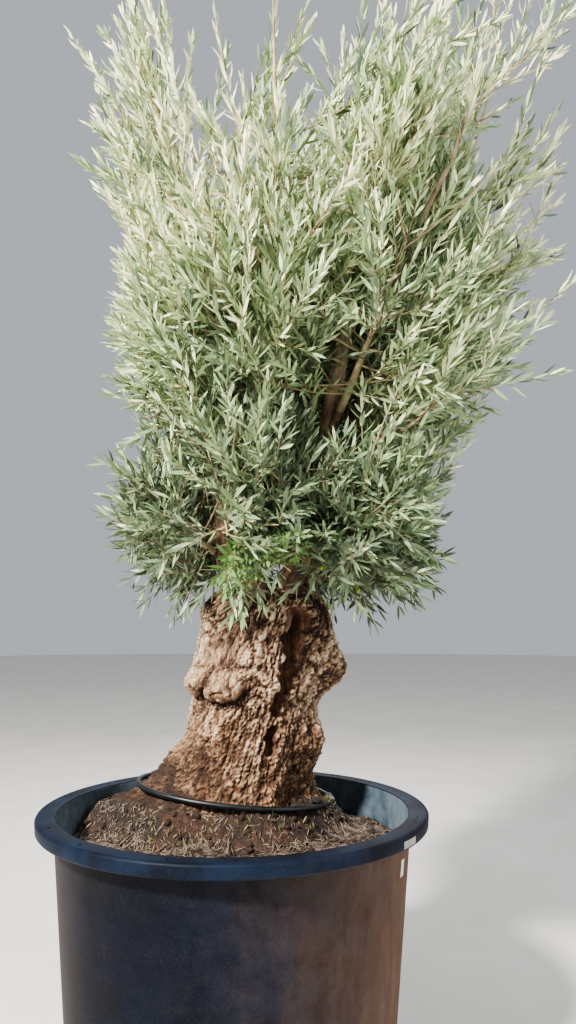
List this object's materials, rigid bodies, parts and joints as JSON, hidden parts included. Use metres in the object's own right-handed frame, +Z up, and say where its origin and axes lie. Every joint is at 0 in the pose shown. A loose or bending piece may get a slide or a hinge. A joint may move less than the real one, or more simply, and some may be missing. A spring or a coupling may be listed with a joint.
{
  "type": "old olive tree in a round nursery tub",
  "caption": "Thick-trunked old olive tree with a bushy upright crown, planted in a round black plastic nursery tub with a rolled rim",
  "frame": {"origin": "the middle of the tub's flat underside, on the floor", "axes": "+Z up; -Y towards the viewer of the picture; +X to that viewer's right"},
  "size_m": [1.8754, 1.4251, 3.8059],
  "materials": {
    "tub": "matte, dusty",
    "soil": "loose, dry",
    "bark": "rough bark",
    "pipe": "satin",
    "limb": "rough bark",
    "foliage": "matte, silvery leaves"
  },
  "bodies": {
    "root": {"tub": "tub", "soil": "soil", "trunk": "bark", "drip_pipe": "pipe", "limb_left": "limb", "limb_front_left": "limb", "limb_front_right": "limb", "limb_right": "limb", "limb_back_right": "limb", "limb_back_left": "limb", "bough_skirt_left": "limb", "bough_skirt_front_left": "limb", "bough_skirt_front_right": "limb", "bough_skirt_right": "limb", "bough_skirt_back_right": "limb", "bough_skirt_back_left": "limb", "bough_side_left": "limb", "bough_side_front_left": "limb", "bough_side_front_right": "limb", "bough_side_right": "limb", "bough_side_back_right": "limb", "bough_side_back_left": "limb", "skirt_left": "foliage", "skirt_front_left": "foliage", "skirt_front_right": "foliage", "skirt_right": "foliage", "skirt_back_right": "foliage", "skirt_back_left": "foliage", "side_left": "foliage", "side_front_left": "foliage", "side_front_right": "foliage", "side_right": "foliage", "side_back_right": "foliage", "side_back_left": "foliage", "plume_left": "foliage", "plume_front_left": "foliage", "plume_front_right": "foliage", "plume_right": "foliage", "plume_back_right": "foliage", "plume_back_left": "foliage"}
  },
  "joints": []
}
